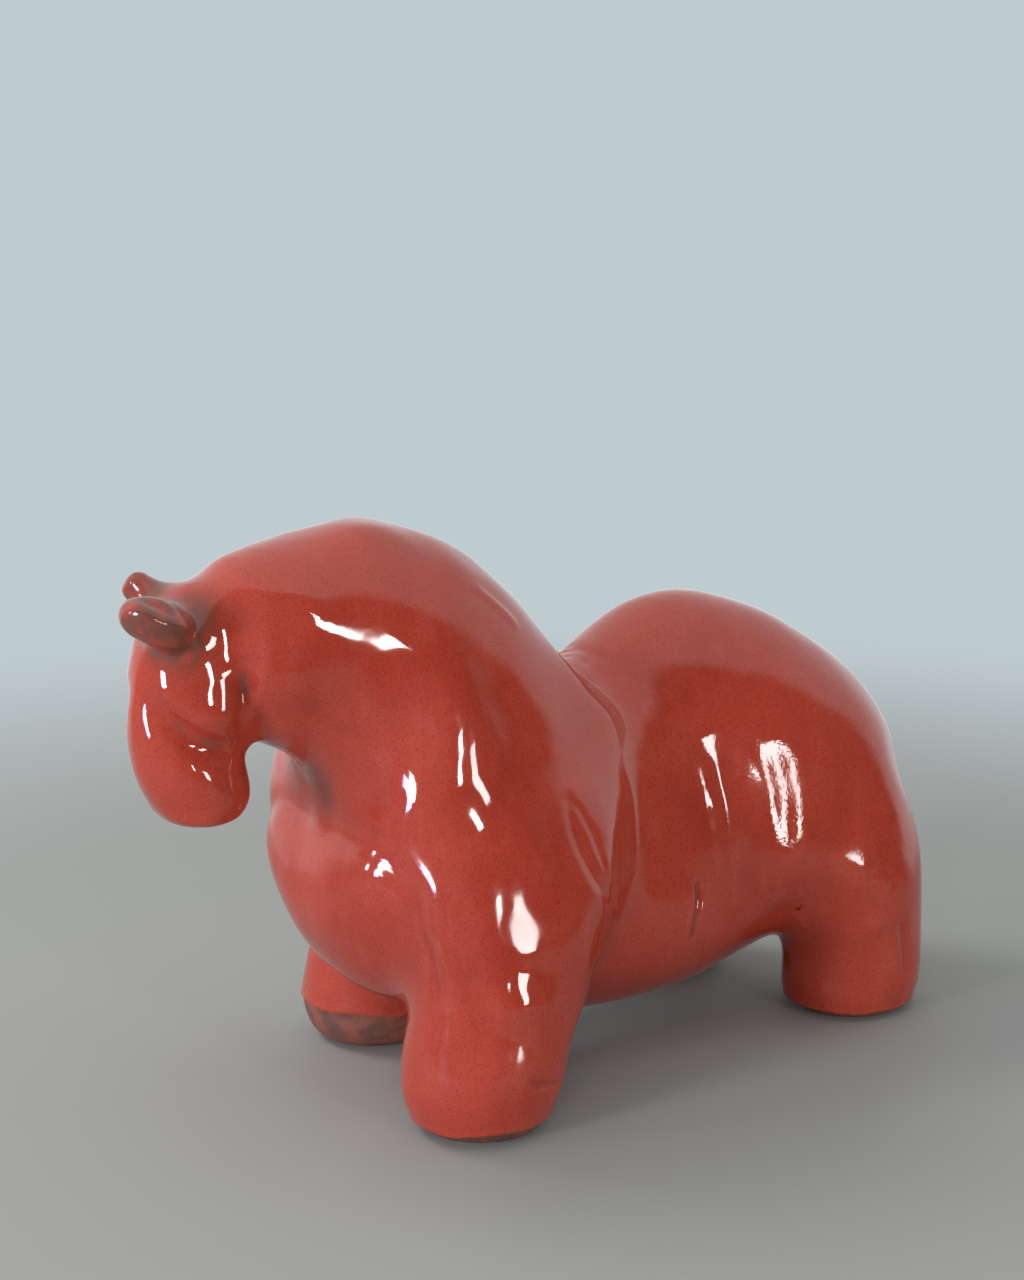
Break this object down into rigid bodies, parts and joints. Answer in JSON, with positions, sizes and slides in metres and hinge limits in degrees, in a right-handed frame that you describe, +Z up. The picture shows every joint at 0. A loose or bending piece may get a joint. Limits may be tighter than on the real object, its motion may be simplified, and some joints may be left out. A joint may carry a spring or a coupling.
{
  "type": "ceramic horse figure",
  "caption": "Squat hollow ceramic horse with a massive arched neck, hanging head, sagging belly and stump legs, in glossy red glaze. Free-standing shelf ornament.",
  "frame": {"origin": "on the floor, under the middle of the horse's box", "axes": "+X the way the horse faces, +Y to its left, +Z up"},
  "size_m": [0.319, 0.139, 0.19],
  "materials": {
    "red_glaze": "glossy speckled glaze",
    "browned_glaze": "thin glossy glaze over brown clay",
    "bare_foot": "matt thin glaze, rubbed and stained"
  },
  "bodies": {
    "root": {"barrel_shell": "red_glaze", "front_left_leg": "red_glaze", "front_left_sole": "bare_foot", "front_right_leg": "red_glaze", "front_right_sole": "bare_foot", "head": "red_glaze", "hind_left_leg": "red_glaze", "hind_left_sole": "bare_foot", "hind_right_leg": "red_glaze", "hind_right_sole": "bare_foot", "left_ear": "browned_glaze", "muzzle": "red_glaze", "neck_shell": "red_glaze", "right_ear": "browned_glaze", "rump_shell": "red_glaze", "shoulder_shell": "red_glaze", "tail": "red_glaze"}
  },
  "joints": []
}
